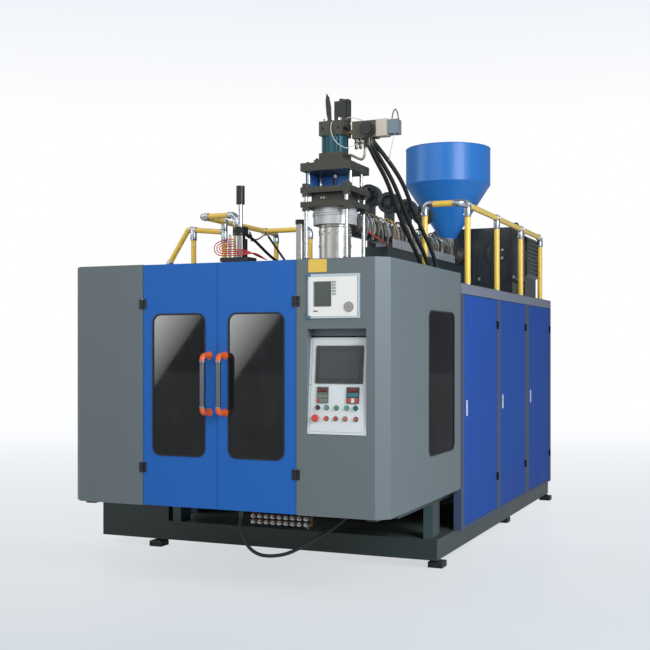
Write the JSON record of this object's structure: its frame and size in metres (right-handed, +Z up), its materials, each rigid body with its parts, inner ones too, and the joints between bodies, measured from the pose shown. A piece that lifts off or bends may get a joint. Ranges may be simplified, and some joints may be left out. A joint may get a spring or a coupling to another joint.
{
  "type": "blow moulding machine",
  "caption": "Shuttle-type extrusion blow moulding machine: guarded clamp, operator panel, die head tower, extruder with hopper and drive over a cabinet, and a blow pin station.",
  "frame": {"origin": "bottom middle of the machine's box, on the floor", "axes": "+Z up, +Y from the guard doors back to the drive motor, +X to the right seen from the doors"},
  "size_m": [2.967, 5.363, 3.5451],
  "materials": {
    "base_paint": "satin paint",
    "post_paint": "satin paint",
    "guard_gray": "textured paint",
    "frame_gray": "satin paint",
    "door_blue": "satin paint",
    "cabinet_blue": "satin paint",
    "hopper_blue": "gloss paint",
    "rail_yellow": "gloss paint",
    "window_dark": "gloss",
    "steel": "machined",
    "plate_steel": "satin",
    "aluminium": "satin",
    "black_iron": "satin",
    "black_rubber": "matte",
    "handle_orange": "gloss",
    "panel_white": "satin",
    "screen": "gloss",
    "green_plastic": "gloss",
    "red_plastic": "gloss",
    "black_plastic": "satin",
    "teal_plastic": "satin",
    "brass": "satin",
    "red_tube": "gloss",
    "cabinet_inner": "satin"
  },
  "bodies": {
    "machine": {"base_beams": "base_paint", "levelling_feet": "black_rubber", "clamp_bed": "post_paint", "ladder_platform": "base_paint", "deck_plate": "frame_gray", "cabinet_frame": "frame_gray", "handrails": "rail_yellow", "guard_panel_left": "guard_gray", "guard_panel_right": "guard_gray", "guard_side_windows": "window_dark", "door_hinge_pins": "steel", "controller_unit": "panel_white", "operator_panel": "panel_white", "panel_displays": "screen", "water_manifold": "brass", "head_frame": "plate_steel", "die_head": "steel", "head_cylinder": "plate_steel", "servo_valve_unit": "aluminium", "blow_station": "black_iron", "extruder_barrel": "steel", "heater_bands": "steel", "hopper": "hopper_blue", "gearbox": "black_iron", "motor": "black_iron", "barrel_blowers": "black_iron", "cabinet_equipment": "cabinet_inner", "hydraulic_hose_1": "black_rubber", "hydraulic_hose_2": "black_rubber", "hydraulic_hose_3": "black_rubber", "blow_hose_1": "black_rubber", "blow_hose_2": "black_rubber", "drain_cable": "black_rubber", "air_tubes": "red_tube"},
    "left_door": {"left_front_door": "door_blue", "left_door_window": "window_dark", "left_door_fittings": "handle_orange"},
    "right_door": {"right_front_door": "door_blue", "right_door_window": "window_dark", "right_door_fittings": "handle_orange"},
    "carriage": {"carriage_frame": "post_paint"},
    "front_platen": {"front_mould_platen": "aluminium"},
    "rear_platen": {"rear_mould_platen": "aluminium"},
    "mandrel_shaft": {"mandrel": "steel"},
    "blow_pin_rod": {"blow_pin": "steel"},
    "screw": {"extruder_screw": "steel"},
    "drive_shaft": {"motor_shaft": "steel"},
    "door_front": {"cabinet_door_front": "cabinet_blue"},
    "door_middle": {"cabinet_door_middle": "cabinet_blue"},
    "door_rear": {"cabinet_door_rear": "cabinet_blue"},
    "selector_left_cap": {"selector_left": "black_plastic"},
    "start_button_1_cap": {"start_button_1": "green_plastic"},
    "start_button_2_cap": {"start_button_2": "green_plastic"},
    "start_button_3_cap": {"start_button_3": "green_plastic"},
    "selector_right_cap": {"selector_right": "teal_plastic"},
    "emergency_stop_cap": {"emergency_stop": "red_plastic"},
    "stop_button_1_cap": {"stop_button_1": "red_plastic"},
    "stop_button_2_cap": {"stop_button_2": "red_plastic"},
    "stop_button_3_cap": {"stop_button_3": "red_plastic"},
    "stop_button_4_cap": {"stop_button_4": "red_plastic"}
  },
  "joints": [
    {"name": "left_door_hinge", "type": "hinge", "parent": "machine", "child": "left_door", "pos_m": [-0.3065, -2.5765, 1.365], "axis": [0, 0, -1], "range_deg": [0, 110]},
    {"name": "right_door_hinge", "type": "hinge", "parent": "machine", "child": "right_door", "pos_m": [0.8495, -2.5765, 1.365], "axis": [0, 0, 1], "range_deg": [0, 110]},
    {"name": "cabinet_door_front_hinge", "type": "hinge", "parent": "machine", "child": "door_front", "pos_m": [1.4765, 0.246, 1.2], "axis": [0, 0, 1], "range_deg": [0, 100]},
    {"name": "cabinet_door_middle_hinge", "type": "hinge", "parent": "machine", "child": "door_middle", "pos_m": [1.4765, 1.337, 1.2], "axis": [0, 0, 1], "range_deg": [0, 100]},
    {"name": "cabinet_door_rear_hinge", "type": "hinge", "parent": "machine", "child": "door_rear", "pos_m": [1.4765, 2.493, 1.2], "axis": [0, 0, 1], "range_deg": [0, 100]},
    {"name": "selector_left_turn", "type": "hinge", "parent": "machine", "child": "selector_left_cap", "pos_m": [0.9965, -2.55228, 1.236], "axis": [0, -0.9954, 0.0956], "range_deg": [-45, 45]},
    {"name": "start_button_1_press", "type": "slide", "parent": "machine", "child": "start_button_1_cap", "axis": [0, 0.9954, -0.0956], "range_m": [0, 0.004], "stiffness_N_per_m": 800, "springref_m": -0.002},
    {"name": "start_button_2_press", "type": "slide", "parent": "machine", "child": "start_button_2_cap", "axis": [0, 0.9954, -0.0956], "range_m": [0, 0.004], "stiffness_N_per_m": 800, "springref_m": -0.002},
    {"name": "start_button_3_press", "type": "slide", "parent": "machine", "child": "start_button_3_cap", "axis": [0, 0.9954, -0.0956], "range_m": [0, 0.004], "stiffness_N_per_m": 800, "springref_m": -0.002},
    {"name": "selector_right_turn", "type": "hinge", "parent": "machine", "child": "selector_right_cap", "pos_m": [1.2565, -2.55228, 1.236], "axis": [0, -0.9954, 0.0956], "range_deg": [-45, 45]},
    {"name": "emergency_stop_press", "type": "slide", "parent": "machine", "child": "emergency_stop_cap", "axis": [0, 0.9954, -0.0956], "range_m": [0, 0.004], "stiffness_N_per_m": 800, "springref_m": -0.002},
    {"name": "stop_button_1_press", "type": "slide", "parent": "machine", "child": "stop_button_1_cap", "axis": [0, 0.9954, -0.0956], "range_m": [0, 0.004], "stiffness_N_per_m": 800, "springref_m": -0.002},
    {"name": "stop_button_2_press", "type": "slide", "parent": "machine", "child": "stop_button_2_cap", "axis": [0, 0.9954, -0.0956], "range_m": [0, 0.004], "stiffness_N_per_m": 800, "springref_m": -0.002},
    {"name": "stop_button_3_press", "type": "slide", "parent": "machine", "child": "stop_button_3_cap", "axis": [0, 0.9954, -0.0956], "range_m": [0, 0.004], "stiffness_N_per_m": 800, "springref_m": -0.002},
    {"name": "stop_button_4_press", "type": "slide", "parent": "machine", "child": "stop_button_4_cap", "axis": [0, 0.9954, -0.0956], "range_m": [0, 0.004], "stiffness_N_per_m": 800, "springref_m": -0.002},
    {"name": "carriage_shuttle", "type": "slide", "parent": "machine", "child": "carriage", "axis": [-1, 0, 0], "range_m": [0, 0.773]},
    {"name": "front_platen_close", "type": "slide", "parent": "carriage", "child": "front_platen", "axis": [0, 1, 0], "range_m": [0, 0.15]},
    {"name": "rear_platen_close", "type": "slide", "parent": "carriage", "child": "rear_platen", "axis": [0, -1, 0], "range_m": [0, 0.15]},
    {"name": "mandrel_stroke", "type": "slide", "parent": "machine", "child": "mandrel_shaft", "axis": [0, 0, -1], "range_m": [0, 0.025]},
    {"name": "blow_pin_stroke", "type": "slide", "parent": "machine", "child": "blow_pin_rod", "axis": [0, 0, -1], "range_m": [0, 0.165]},
    {"name": "screw_turn", "type": "hinge", "parent": "machine", "child": "screw", "pos_m": [0.7445, 0.0315, 2.545], "axis": [0, 1, 0], "continuous": true},
    {"name": "motor_turn", "type": "hinge", "parent": "machine", "child": "drive_shaft", "pos_m": [1.1495, 1.9315, 2.545], "axis": [0, 1, 0], "continuous": true}
  ],
  "couplings": [
    {"joint": "rear_platen_close", "follows": "front_platen_close", "ratio": 1},
    {"joint": "motor_turn", "follows": "screw_turn", "ratio": -1.25}
  ]
}
